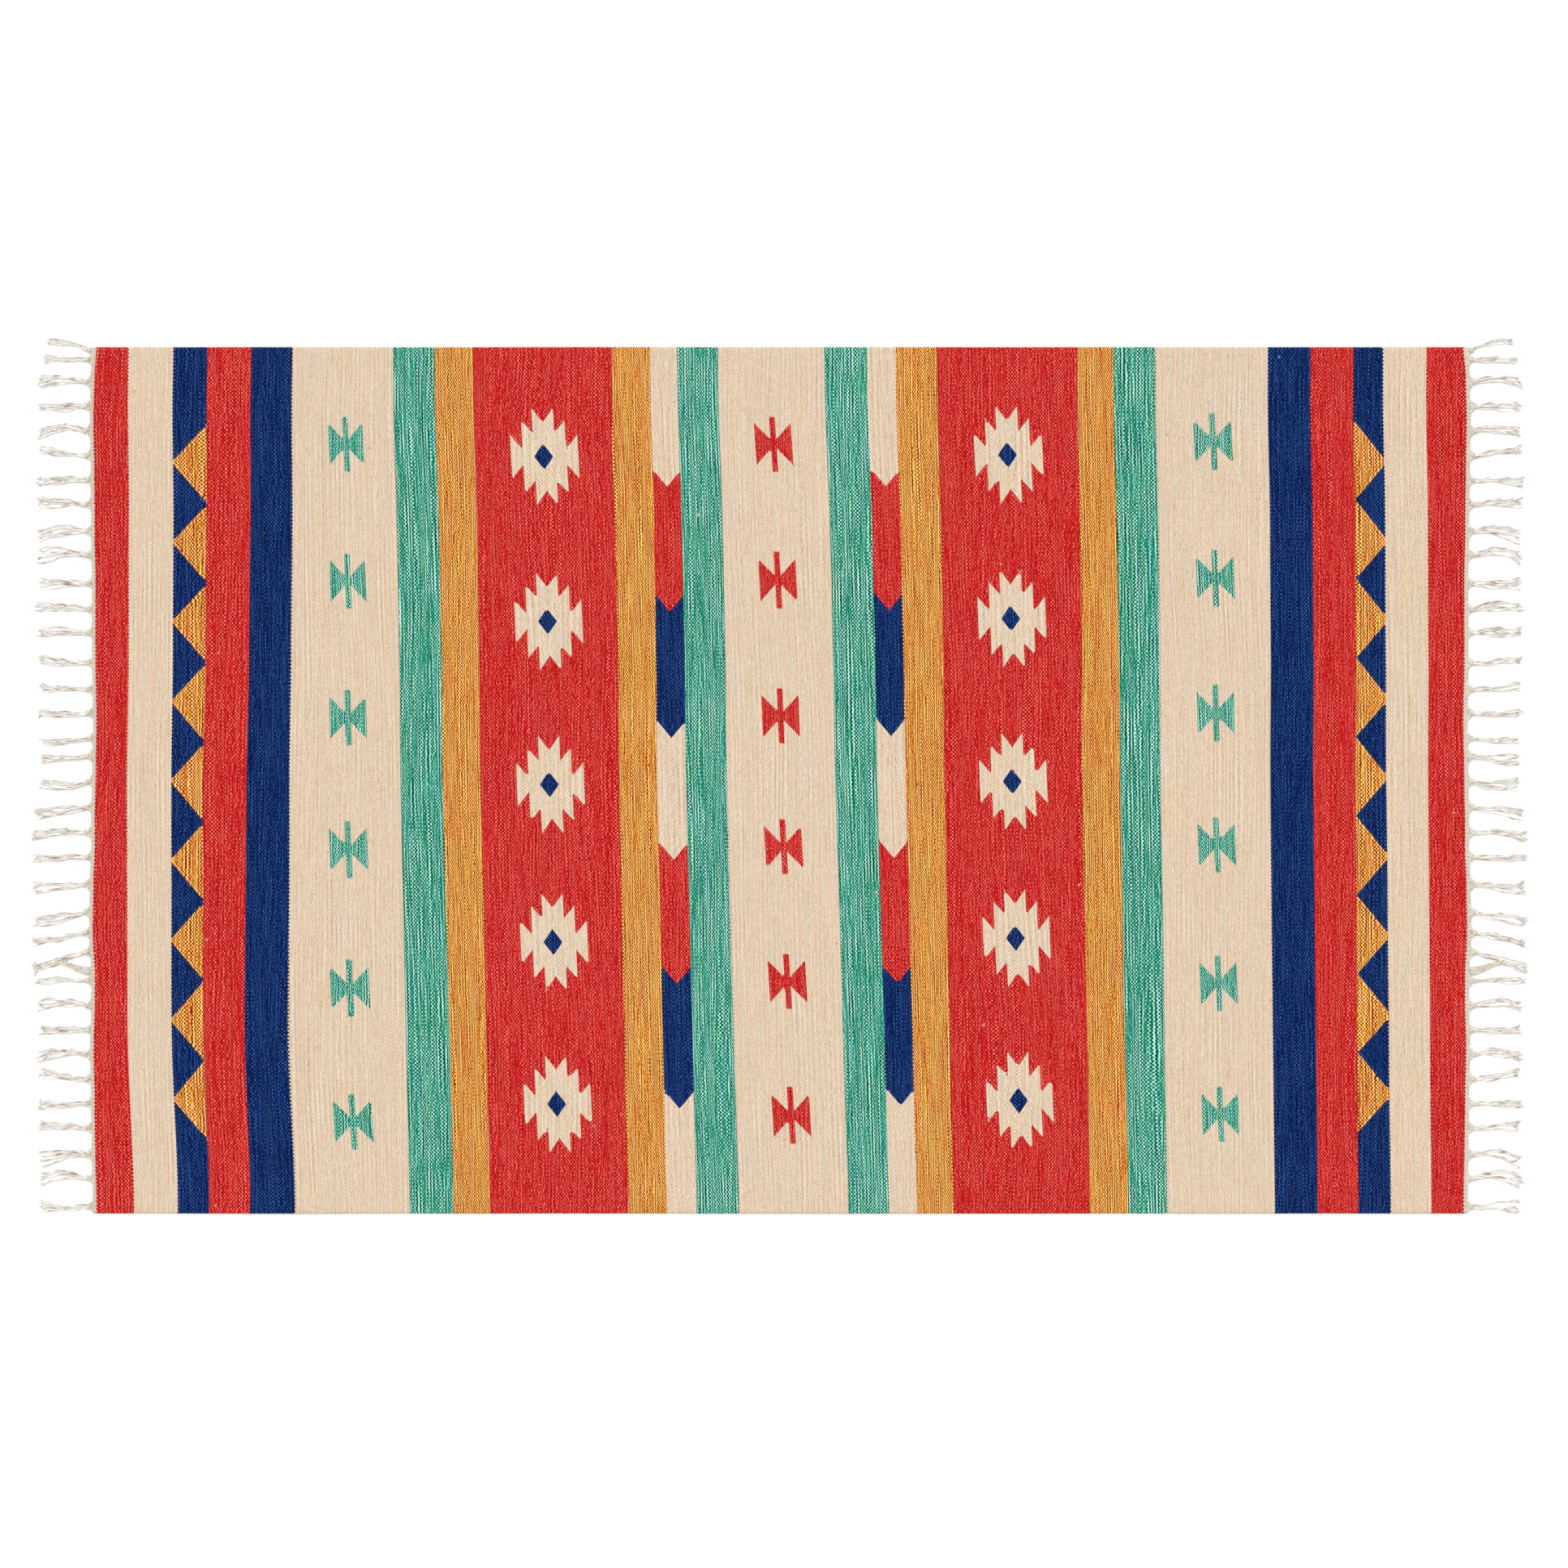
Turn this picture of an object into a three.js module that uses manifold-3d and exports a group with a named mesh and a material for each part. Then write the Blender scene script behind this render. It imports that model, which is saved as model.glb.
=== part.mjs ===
// A flat-woven kilim rug with a knotted fringe at both ends, lying flat on a floor.
// Millimetres, +Z up. X runs along the rug, with the warps, and Y runs across it, with the wefts.
// The origin is on the floor, under the middle of the box that holds the rug and its fringe.

import * as THREE from "three";
import { mergeVertices } from "three/addons/utils/BufferGeometryUtils.js";
import Module from "manifold-3d";

const wasm = await Module();
wasm.setup();

// The cloth: one woven sheet between two straight selvedges
const clothWidth = 1492;
const clothHalfLength = 1180;
const clothThickness = 3;
const edgeRounding = 0.9; // the outermost wefts turn round the edge
const endStep = 46; // spacing of the points along an end edge

// The warps between the cloth and the knots, gathered into a narrow scalloped strip
const stripGap = 0.3; // the cloth and the strip touch with this much between them
const stripWidth = 6.5;
const stripHeight = 2.2;
const gatherReach = 4.5; // how far the strip is drawn out towards each knot
const gatherHalfWidth = 12;

// The knots
const knotOut = 12.5; // from the end of the cloth to the middle of a knot
const knotScatter = 2;
const knotLength = 12;
const knotWidth = 10.5;
const knotHeight = 7;

// The locks of warp yarn below each knot
const locksPerTassel = 4;
const lockHalfWidth = { root: 0.85, middle: 1.4, tip: 1 };
const lockHeight = { root: 3.2, middle: 2.4, tip: 1.6 };
const lockStart = 2.5; // from the middle of a knot to the root of its locks
const rootSpread = 2.8; // from the line of a knot to its outermost locks
const lockWander = 0.4; // how far a lock strays from its even place, of the gap beside it
const shortestLock = 0.86; // of the tassel's reach

// How far each end of the cloth bulges past its half length, at places measured down from the upper selvedge
const endWaves = [
  { down: 0, bulge: -1 },
  { down: 57, bulge: 2 },
  { down: 183, bulge: 2 },
  { down: 295, bulge: 0 },
  { down: 407, bulge: -1.5 },
  { down: 771, bulge: -1.5 },
  { down: 827, bulge: 0 },
  { down: 939, bulge: 3 },
  { down: 1023, bulge: 3 },
  { down: 1107, bulge: 0 },
  { down: 1149, bulge: 2 },
  { down: 1219, bulge: 2 },
  { down: 1275, bulge: 0 },
  { down: clothWidth, bulge: -1.5 },
];

// One row for each tassel: its knot, measured down from the upper selvedge, how far it has bent down
// halfway and at its tips, how wide it spreads to each side, and how far it reaches from the cloth
const firstTassels = [
  { down: 4, bend: -12, tip: -14, spread: 6, reach: 87 },
  { down: 20, bend: 1, tip: 0, spread: 7, reach: 92 },
];
const repeatedTassels = [
  { down: 59, bend: -6, tip: -3, spread: 13, reach: 98 },
  { down: 101, bend: 1, tip: 1, spread: 10, reach: 95 },
  { down: 143, bend: -6, tip: 0, spread: 12, reach: 97 },
  { down: 186, bend: -6, tip: -10, spread: 7, reach: 95 },
  { down: 228, bend: 0, tip: 1, spread: 10, reach: 101 },
  { down: 270, bend: -4, tip: 3, spread: 10, reach: 99 },
  { down: 316, bend: -3, tip: 0, spread: 14, reach: 98 },
  { down: 357, bend: -6, tip: -1, spread: 12, reach: 101 },
  { down: 406, bend: 0, tip: -1, spread: 14, reach: 100 },
];
const middleTassels = [
  { down: 451, bend: -4, tip: -4, spread: 12, reach: 104 },
  { down: 491, bend: -3, tip: -2, spread: 10, reach: 101 },
  { down: 543, bend: -1, tip: -5, spread: 7, reach: 99 },
  { down: 589, bend: -1, tip: -5, spread: 10, reach: 98 },
  { down: 630, bend: 0, tip: 1, spread: 8, reach: 104 },
  { down: 673, bend: 4, tip: 6, spread: 7, reach: 99 },
  { down: 704, bend: 4, tip: 8, spread: 11, reach: 99 },
  { down: 748, bend: 7, tip: 5, spread: 13, reach: 98 },
  { down: 792, bend: 6, tip: 8, spread: 14, reach: 104 },
  { down: 836, bend: -1, tip: 3, spread: 12, reach: 111 },
  { down: 878, bend: 1, tip: 1, spread: 7, reach: 108 },
  { down: 925, bend: 1, tip: 3, spread: 12, reach: 105 },
  { down: 973, bend: 8, tip: 9, spread: 7, reach: 106 },
  { down: 1009, bend: 6, tip: 2, spread: 11, reach: 106 },
  { down: 1042, bend: 9, tip: 3, spread: 16, reach: 108 },
  { down: 1084, bend: -3, tip: 1, spread: 14, reach: 106 },
];
const repeatDown = 1075; // the last tassels fall as the repeated ones do, this much further down

const tassels = [
  ...firstTassels,
  ...repeatedTassels,
  ...middleTassels,
  ...repeatedTassels.map((row) => ({ ...row, down: row.down + repeatDown })),
];

// A value between 0 and 1 that looks random and is the same each time
function scatter(index) {
  const wave = Math.sin(index * 12.9898 + 4.1) * 43758.5453;
  return wave - Math.floor(wave);
}

// The bulge of an end edge, eased from one row of endWaves to the next
function bulgeAt(down) {
  const next = Math.max(1, endWaves.findIndex((row) => row.down >= down));
  const from = endWaves[next - 1];
  const to = endWaves[next];
  const share = (down - from.down) / (to.down - from.down);
  return THREE.MathUtils.lerp(from.bulge, to.bulge, THREE.MathUtils.smoothstep(share, 0, 1));
}

// Points down an end edge of the cloth, moved out by a margin
function endEdge(margin) {
  const count = Math.round(clothWidth / endStep);
  return Array.from({ length: count + 1 }, (_, i) => {
    const down = (clothWidth * i) / count;
    return new THREE.Vector2(clothHalfLength + bulgeAt(down) + margin, clothWidth / 2 - down);
  });
}

// The cloth's outline, pressed flat, with its edges turned round
function clothGeometry() {
  const right = endEdge(-edgeRounding);
  const left = right.map((point) => new THREE.Vector2(-point.x, point.y)).reverse();
  const outline = [...right, ...left].map(
    (point) => new THREE.Vector2(point.x, point.y * (1 - (2 * edgeRounding) / clothWidth)),
  );
  const geometry = new THREE.ExtrudeGeometry(new THREE.Shape(outline), {
    depth: clothThickness - 2 * edgeRounding,
    bevelThickness: edgeRounding,
    bevelSize: edgeRounding,
    bevelSegments: 2,
  });
  return geometry.translate(0, 0, edgeRounding);
}

// How far the strip of gathered warps is drawn out at a place along the edge
function drawnOut(down) {
  const nearest = Math.min(...tassels.map((row) => Math.abs(row.down - down)));
  return gatherReach * Math.exp(-((nearest / (gatherHalfWidth / 2)) ** 2));
}

// The strip of warps beside the cloth, scalloped between the knots
function stripGeometry() {
  const steps = [-1, -0.35, 0.35, 1];
  const places = tassels
    .flatMap((row) => steps.map((step) => row.down + step * gatherHalfWidth))
    .filter((down) => down > 1 && down < clothWidth - 1)
    .sort((a, b) => a - b);
  const outer = [0, ...places, clothWidth].map((down) => {
    const out = clothHalfLength + bulgeAt(down) + stripGap + stripWidth + drawnOut(down);
    return new THREE.Vector2(out, clothWidth / 2 - down);
  });
  const inner = endEdge(stripGap).reverse();
  return new THREE.ExtrudeGeometry(new THREE.Shape([...outer, ...inner]), {
    depth: stripHeight,
    bevelEnabled: false,
  });
}

// A many-sided bar along a route on the floor. Under its widest it drops straight down, to a flat base.
// placeAt(share) gives the middle of the bar as x and y, and its half width and height there.
function barGeometry(sides, spans, placeAt) {
  const turn = sides % 2 ? 0 : Math.PI / sides;
  const lowest = -Math.cos(Math.PI / sides);
  const highest = sides % 2 ? 1 : -lowest;
  const flank = 0.4; // a corner further out than this belongs to the bar's widest or lowest part
  const bar = new THREE.CylinderGeometry(1, 1, 1, sides, spans, false, turn);
  const corners = bar.getAttribute("position");
  for (let i = 0; i < corners.count; i++) {
    const share = corners.getY(i) + 0.5;
    const place = placeAt(share);
    const level = (corners.getZ(i) - lowest) / (highest - lowest);
    const low = corners.getZ(i) < 0 && Math.abs(corners.getX(i)) > flank;
    const side = low ? Math.sign(corners.getX(i)) : corners.getX(i);
    corners.setXYZ(i, place.x, place.y - side * place.halfWidth, level * place.height);
  }
  return bar;
}

// A knot: an overhand knot drawn tight, as a ribbed lump with a waist at each end
function knotGeometry(row, middle) {
  const fullness = [0.6, 1, 0.75];
  return barGeometry(6, fullness.length - 1, (share) => {
    const full = fullness[Math.round(share * (fullness.length - 1))];
    return {
      x: middle.x + (share - 0.5) * knotLength,
      y: middle.y,
      halfWidth: (knotWidth / 2) * full,
      height: knotHeight * full,
    };
  });
}

// How far the outermost locks stand to each side of their tassel's line
function fanAt(row, share) {
  return THREE.MathUtils.lerp(rootSpread, row.spread, share ** 0.8);
}

// One lock of a tassel, from inside its knot to its own tip
function lockGeometry(row, middle, tasselIndex, lockIndex) {
  const seed = tasselIndex * locksPerTassel + lockIndex;
  const side = (2 * lockIndex) / (locksPerTassel - 1) - 1;
  const longest = row.reach - knotOut - lockStart;
  const length = longest * THREE.MathUtils.lerp(shortestLock, 1, scatter(seed));
  const gap = (2 * fanAt(row, 0.5)) / (locksPerTassel - 1) - 2 * lockHalfWidth.middle;
  const wander = lockWander * gap * (2 * scatter(seed + 500) - 1);
  return barGeometry(3, 3, (share) => {
    const bend = 4 * share * (1 - share) * (row.bend - row.tip / 2) + share * row.tip;
    const half = share < 0.5 ? "root" : "tip";
    const toMiddle = 1 - Math.abs(2 * share - 1);
    return {
      x: middle.x + lockStart + share * length,
      y: middle.y - bend - side * fanAt(row, share) + wander * Math.sin(Math.PI * share),
      halfWidth: THREE.MathUtils.lerp(lockHalfWidth[half], lockHalfWidth.middle, toMiddle),
      height: THREE.MathUtils.lerp(lockHeight[half], lockHeight.middle, toMiddle),
    };
  });
}

// A closed three.js geometry as a solid that can be joined
function solidOf(geometry) {
  const bare = geometry.clone();
  bare.deleteAttribute("uv");
  bare.deleteAttribute("normal");
  const merged = mergeVertices(bare, 1e-4);
  return new wasm.Manifold(
    new wasm.Mesh({
      numProp: 3,
      vertProperties: merged.getAttribute("position").array,
      triVerts: new Uint32Array(merged.index.array),
    }),
  );
}

// Closed pieces joined into one geometry
function joined(geometries) {
  const whole = geometries.map(solidOf).reduce((sum, solid) => sum.add(solid)).getMesh();
  const geometry = new THREE.BufferGeometry();
  geometry.setAttribute("position", new THREE.BufferAttribute(whole.vertProperties, 3));
  geometry.setIndex(new THREE.BufferAttribute(whole.triVerts, 1));
  geometry.computeVertexNormals();
  return geometry;
}

// The fringe at the right-hand end: the strip, with a knot and its locks at each row of the table
function fringeGeometry() {
  const pieces = [stripGeometry()];
  tassels.forEach((row, tasselIndex) => {
    const out = knotOut + knotScatter * (2 * scatter(tasselIndex + 900) - 1);
    const middle = new THREE.Vector2(
      clothHalfLength + bulgeAt(row.down) + out,
      clothWidth / 2 - row.down,
    );
    pieces.push(knotGeometry(row, middle));
    for (let lockIndex = 0; lockIndex < locksPerTassel; lockIndex++) {
      pieces.push(lockGeometry(row, middle, tasselIndex, lockIndex));
    }
  });
  return joined(pieces);
}

const weftYarn = new THREE.MeshStandardMaterial({ color: 0xcc3936, roughness: 0.92, metalness: 0 });
const warpYarn = new THREE.MeshStandardMaterial({ color: 0xe2d9c8, roughness: 0.9, metalness: 0 });

function namedMesh(name, geometry, material) {
  const mesh = new THREE.Mesh(geometry, material);
  mesh.name = name;
  return mesh;
}

const rug = new THREE.Group();
rug.add(namedMesh("kilim_cloth", clothGeometry(), weftYarn));

const fringe = fringeGeometry();
rug.add(namedMesh("fringe_right", fringe, warpYarn));

// The left-hand fringe is the right-hand one in a mirror
const fringeLeft = namedMesh("fringe_left", fringe, warpYarn.clone());
fringeLeft.scale.x = -1;
rug.add(fringeLeft);

// The corner tassels sweep past one selvedge only, so the pieces move to centre the whole on the origin
const middleOfAll = new THREE.Box3().setFromObject(rug).getCenter(new THREE.Vector3());
for (const piece of rug.children) {
  piece.position.set(-middleOfAll.x, -middleOfAll.y, 0);
}

export default rug;
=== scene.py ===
import math
import random

import bpy
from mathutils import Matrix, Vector, noise


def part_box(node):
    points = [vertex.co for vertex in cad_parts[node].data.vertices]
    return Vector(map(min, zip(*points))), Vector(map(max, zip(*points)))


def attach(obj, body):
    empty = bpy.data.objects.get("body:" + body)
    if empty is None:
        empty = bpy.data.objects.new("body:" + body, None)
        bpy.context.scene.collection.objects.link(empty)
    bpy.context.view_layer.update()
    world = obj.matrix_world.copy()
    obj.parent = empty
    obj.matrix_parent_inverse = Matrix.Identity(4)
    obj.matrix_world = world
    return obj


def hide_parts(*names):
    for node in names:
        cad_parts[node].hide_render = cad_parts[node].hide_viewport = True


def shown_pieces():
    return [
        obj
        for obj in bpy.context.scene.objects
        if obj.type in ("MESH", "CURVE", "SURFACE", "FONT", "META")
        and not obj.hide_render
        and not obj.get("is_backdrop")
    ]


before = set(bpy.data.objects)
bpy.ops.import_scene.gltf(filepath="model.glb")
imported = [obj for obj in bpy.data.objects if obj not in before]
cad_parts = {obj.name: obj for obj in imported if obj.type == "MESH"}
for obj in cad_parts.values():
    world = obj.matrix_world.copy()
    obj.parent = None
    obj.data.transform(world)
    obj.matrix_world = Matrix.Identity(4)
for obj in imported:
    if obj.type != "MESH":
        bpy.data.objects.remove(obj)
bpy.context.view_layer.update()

# A flat-woven cotton kilim on a studio floor. The model is worked out in millimetres, with x along the
# warps, y across them and "down" measured from the upper selvedge, and turned to metres as it is made.
mm = 0.001

clothLow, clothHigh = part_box("kilim_cloth")
clothWidth = (clothHigh.y - clothLow.y) / mm
clothTop = clothHigh.z / mm
clothMiddle = Vector(((clothLow.x + clothHigh.x) / 2, (clothLow.y + clothHigh.y) / 2)) / mm
clothHalfLength = 1180        # the ends of the cloth bulge past this


# Camera: straight above the rug, and far enough off that its edges don't lean
photo = {
    "pixels": 1932,                  # its width and its height
    "mmPerPixel": 1.4,
    "clothMiddle": (961, 961.5),     # where the middle of the cloth lies in it
    "height": 6.5,                   # metres from the floor to the camera
    "sensor": 36,                    # millimetres across
}


def makeCamera():
    right, down = [photo["mmPerPixel"] * (photo["pixels"] / 2 - place) for place in photo["clothMiddle"]]
    data = bpy.data.cameras.new("camera")
    data.sensor_width = photo["sensor"]
    data.lens = photo["sensor"] * photo["height"] / (photo["pixels"] * photo["mmPerPixel"] * mm)
    camera = bpy.data.objects.new("camera", data)
    camera.location = ((clothMiddle.x + right) * mm, (clothMiddle.y - down) * mm, photo["height"])
    bpy.context.collection.objects.link(camera)
    bpy.context.scene.camera = camera


makeCamera()
print("camera: straight above the rug")


# Design of the cloth: one row for each colour stripe, from left to right. The stripes of one band are one
# piece. pick is the spacing of its wefts, edge is where its right-hand edge stands halfway down, from the
# middle of the cloth, and lean is how far that edge moves to the right from the upper selvedge to the lower.
stripeRows = [
    ("end_left", "red", None, 2.5, -1123, -3),
    ("end_left", "cream", None, 1.9, -1047, -4),
    ("end_left", "navy", "trianglesLeft", 2.8, -991, -9),
    ("red_navy_left", "red", None, 2.9, -917, -14),
    ("red_navy_left", "navy", None, 2.6, -843, -8),
    ("birds_left", "cream", "tealBirds", 1.9, -652, 28),
    ("teal_ochre_left", "teal", None, 2.7, -578, 33),
    ("teal_ochre_left", "ochre", None, 1.87, -514, 30),
    ("stars_left", "red", "stars", 2.6, -274.5, 29),
    ("chevrons_left", "ochre", None, 1.87, -209, 28),
    ("chevrons_left", "cream", "chevronsLeft", 2.5, -160, 33),
    ("chevrons_left", "teal", None, 2.4, -89, 36),
    ("birds_middle", "cream", "redBirds", 1.9, 98, 41),
    ("chevrons_right", "teal", None, 2.5, 170, 37),
    ("chevrons_right", "cream", "chevronsRight", 2.5, 219, 36),
    ("chevrons_right", "ochre", None, 1.85, 286, 29),
    ("stars_right", "red", "starsRight", 2.6, 524, 21),
    ("ochre_teal_right", "ochre", None, 1.93, 588.5, 25),
    ("ochre_teal_right", "teal", None, 2.8, 658.5, 19),
    ("birds_right", "cream", "tealBirdsRight", 1.9, 848, 11),
    ("navy_red_right", "navy", None, 2.7, 922, 10),
    ("navy_red_right", "red", None, 2.4, 994.5, 8),
    ("end_right", "navy", "trianglesRight", 2.6, 1047.5, 12),
    ("end_right", "cream", None, 2.3, 1119.5, 8),
    ("end_right", "red", None, 2.6, clothHalfLength, 0),
]
stripes = [dict(zip(("band", "yarn", "figure", "pick", "edge", "lean"), row)) for row in stripeRows]

# The lower left corner was beaten up tighter, so the first stripes swing back to the right there
cornerSwing = {"shift": 11, "start": 0.77, "fromX": -700, "toX": -830}

# How far the wefts sway to the right, from the upper selvedge down
sway = [(0, 0), (100, -1), (300, 1.2), (520, 0.8), (740, -1.4), (1000, -0.5), (1200, 0), (1492, 1)]

# How far each end of the cloth bulges past its half length
endWaves = [
    (0, -2), (50, 2), (125, 3.5), (210, 2), (320, 1.2), (400, -0.4), (530, -0.3), (645, -2), (740, -0.6),
    (810, 1), (860, 0.8), (930, 3.5), (1000, 4.5), (1090, 0.9), (1130, 1), (1210, 2.8), (1290, 1.2),
    (1492, -1.6),
]

# Winged figures: a bar with two wings that widen from a waist
bird = {"barHalf": 4.9, "barReach": 48, "span": 32, "waist": 7.5, "wingTip": 36.5, "lean": 0.03}
birdRows = {
    "tealBirds": {"yarn": "teal", "shift": 4, "down": [166, 402, 638, 865, 1104, 1334]},
    "redBirds": {"yarn": "red", "shift": 0, "down": [166, 401, 635, 861, 1093, 1324]},
    "tealBirdsRight": {"yarn": "teal", "shift": 0, "down": [162, 397, 630, 857, 1096, 1322]},
}

# Stars: three steps to each side, each cut to a slanting spike, round a navy diamond
star = {"lean": 0.025, "diamondHalfWidth": 16.5, "diamondHalfHeight": 22.5, "diamondShift": -2}
starSteps = [
    {"out": 18.5, "notch": 59, "tip": 84.5},
    {"out": 37.5, "notch": 41, "tip": 63},
    {"out": 58, "notch": 13, "tip": 38},
]
starRows = {
    "stars": {"shift": 0, "down": [188, 472, 753, 1025, 1304]},
    "starsRight": {"shift": -1, "down": [185, 467, 748, 1018, 1298]},
}

# Chevron bands: pointed panels of three colours in turn
chevrons = {"depth": 29.5, "yarns": ["cream", "red", "navy"]}
chevronTips = {
    "chevronsLeft": [240, 456, 673, 883, 1097, 1312],
    "chevronsRight": [239, 453, 670, 880, 1096, 1307],
}

# Triangles: a row of nine on one side of a stripe. first is the upper corner of the first one, and apex is
# how far down its height the blunt point of each one stands.
triangles = {"count": 9, "blunt": 0.03}
triangleRows = {
    "trianglesLeft": {"side": 1, "first": 131.5, "pitch": 137.2, "apex": 0.49},
    "trianglesRight": {"side": -1, "first": 126, "pitch": 136.2, "apex": 0.52},
}


def smooth(share):
    share = min(1, max(0, share))
    return share * share * (3 - 2 * share)


# The value at one place down the cloth, from a list of places and values
def valueAt(waves, down):
    for (start, startValue), (end, endValue) in zip(waves, waves[1:]):
        if down <= end:
            break
    return startValue + (endValue - startValue) * smooth((down - start) / (end - start))


# The place beside the nearest figure of a row, across and down from its middle
def besideFigure(rows, lean, across, down):
    away = down - min(rows["down"], key=lambda place: abs(place - down))
    return across - rows["shift"] - lean * away, abs(away)


def birdYarn(stripe, across, down):
    rows = birdRows[stripe["figure"]]
    across, away = besideFigure(rows, bird["lean"], across, down)
    across = abs(across)
    wing = (across - bird["barHalf"]) / (bird["span"] - bird["barHalf"])
    reach = bird["waist"] + (bird["wingTip"] - bird["waist"]) * wing
    if across < bird["barHalf"] and away < bird["barReach"] or 0 <= wing <= 1 and away < reach:
        return rows["yarn"]
    return stripe["yarn"]


def starYarn(stripe, across, down):
    across, away = besideFigure(starRows[stripe["figure"]], star["lean"], across, down)
    if abs(across - star["diamondShift"]) / star["diamondHalfWidth"] + away / star["diamondHalfHeight"] < 1:
        return "navy"
    across = abs(across)
    inner = 0
    for step in starSteps:
        if across < step["out"]:
            share = (across - inner) / (step["out"] - inner)
            return "cream" if away < step["notch"] + (step["tip"] - step["notch"]) * share else stripe["yarn"]
        inner = step["out"]
    return stripe["yarn"]


def chevronYarn(stripe, across, down):
    place = down + chevrons["depth"] * abs(across) / stripe["halfWidth"]
    passed = sum(place > tip for tip in chevronTips[stripe["figure"]])
    return chevrons["yarns"][passed % len(chevrons["yarns"])]


def triangleYarn(stripe, across, down):
    rows = triangleRows[stripe["figure"]]
    place = (down - rows["first"]) / rows["pitch"]
    if not 0 <= place < triangles["count"]:
        return stripe["yarn"]
    toBase = (rows["side"] * across / stripe["halfWidth"] + 1) / 2        # 0 at the apex, 1 at the base
    upper = (rows["apex"] - triangles["blunt"]) * (1 - toBase)
    lower = rows["apex"] + triangles["blunt"] + (1 - rows["apex"] - triangles["blunt"]) * toBase
    return "ochre" if upper < place % 1 < lower else stripe["yarn"]


figureYarn = {
    **dict.fromkeys(birdRows, birdYarn), **dict.fromkeys(starRows, starYarn),
    **dict.fromkeys(chevronTips, chevronYarn), **dict.fromkeys(triangleRows, triangleYarn),
}


def yarnAt(stripe, across, down):
    if stripe["figure"] is None:
        return stripe["yarn"]
    return figureYarn[stripe["figure"]](stripe, across, down)


# Weave: weft-faced plain weave. A weft shows where it floats over a warp, and the next weft floats over
# the warps between, so the face is a lattice of diamonds, each one float of one weft. A column is a pick
# of weft, and a row is a warp.
weave = {
    "warps": 456,
    "floatUneven": (0.3, 1.5),     # how far the floats stray from an even lattice, across and along
    "pickUneven": 1.2,             # handspun weft is thick and thin, and so are its picks
    "paired": 0.5,                 # and many lie in pairs, as they were beaten in
    "pickRow": 1.3,                # about so many picks from thick ones to thin ones
    "pickRun": 150,                # and so many warps from a thick place to a thin one
    "pickLayer": 3,                # each kind of unevenness reads a layer of noise of its own
    "pairLayer": 8,
    "thinnest": 0.4,
    "outline": 0.8,                # how far a hole moves at most to lie on the outline of a figure
    "outlineSteps": 6,
    "tuck": 0.1,                   # how far a float's tip hides under floats of another colour
    "belowTop": 0.1,               # how far the lowest floats lie below the top of the solid
    "thickVary": 0.1,              # how much the height of the floats varies
    "wave": 0.45,                  # the cloth waves by about this much, and lies flat where a wave would
    "waveMean": 0.5,               # go under the floor, as they start from this share of their height
    "waveLength": 240,
    "waveLayer": 40,
    "edgeLift": 1.1,               # its edges wave by this much more
    "edgeMean": 0.35,
    "edgeReach": 60,
    "turn": 0.8,                   # the wefts bulge this far out where they turn round the last warp
    "edgeDrop": 0.8,               # the top of an edge lies this much lower than the face
    "edgeRise": 0.8 / 3,           # and its underside this much higher than the back
    "edgeRound": 0.5,              # and halfway up it stands this much further out
    "underside": 0.05,             # the back lies this high, so that it doesn't touch the floor
    "backPicks": 4,                # the back shows its figures in cells of so many picks by two warps
}
warpSpacing = clothWidth / weave["warps"]
lastRow = weave["warps"]


def countPicks():
    left = -clothHalfLength
    column = 0
    for stripe in stripes:
        width = stripe["edge"] - left
        stripe["first"] = column
        stripe["picks"] = 2 * round(width / stripe["pick"] / 2)
        stripe["halfWidth"] = width / 2
        column += stripe["picks"]
        left = stripe["edge"]
    return column


lastColumn = countPicks()
stripeOfColumn = [index for index, stripe in enumerate(stripes) for _ in range(stripe["picks"])]
stripeOfColumn.append(len(stripes) - 1)        # the right-hand end of the cloth


# Where the edges of the stripes lie on one warp
def edgesAt(row):
    share = row / lastRow
    down = share * clothWidth
    bulge = valueAt(endWaves, down)
    places = [-clothHalfLength - bulge]
    for stripe in stripes[:-1]:
        swing = smooth((share - cornerSwing["start"]) / (1 - cornerSwing["start"]))
        swing *= smooth((cornerSwing["fromX"] - stripe["edge"]) / (cornerSwing["fromX"] - cornerSwing["toX"]))
        lean = stripe["lean"] * (share - 0.5)
        places.append(stripe["edge"] + lean + cornerSwing["shift"] * swing + valueAt(sway, down))
    return places + [clothHalfLength + bulge]


# The width of a pick at one warp, as a share of what is usual in its stripe
def pickWidth(column, row):
    across, along = column / weave["pickRow"], row / weave["pickRun"]
    uneven = weave["pickUneven"] * noise.noise(Vector((across, along, weave["pickLayer"])))
    paired = weave["paired"] * noise.noise(Vector((across, along, weave["pairLayer"]))) * (-1) ** column
    return max(weave["thinnest"], 1 + uneven + paired)


def placePicks(row):
    places = []
    for stripe, left, right in zip(stripes, stripeEdges[row], stripeEdges[row][1:]):
        widths = [pickWidth(stripe["first"] + pick, row) for pick in range(stripe["picks"])]
        scale = (right - left) / sum(widths)
        for width in widths:
            places.append(left)
            left += width * scale
    return places + [stripeEdges[row][-1]]


stripeEdges = [edgesAt(row) for row in range(lastRow + 1)]
pickPlaces = [placePicks(row) for row in range(lastRow + 1)]
knownYarns = {}


def floatYarn(column, row):
    if (column, row) not in knownYarns:
        index = stripeOfColumn[min(lastColumn - 1, column)]
        left, right = stripeEdges[row][index:index + 2]
        share = (pickPlaces[row][column] - left) / (right - left)
        across = (2 * share - 1) * stripes[index]["halfWidth"]
        knownYarns[column, row] = yarnAt(stripes[index], across, row * warpSpacing)
    return knownYarns[column, row]


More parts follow.
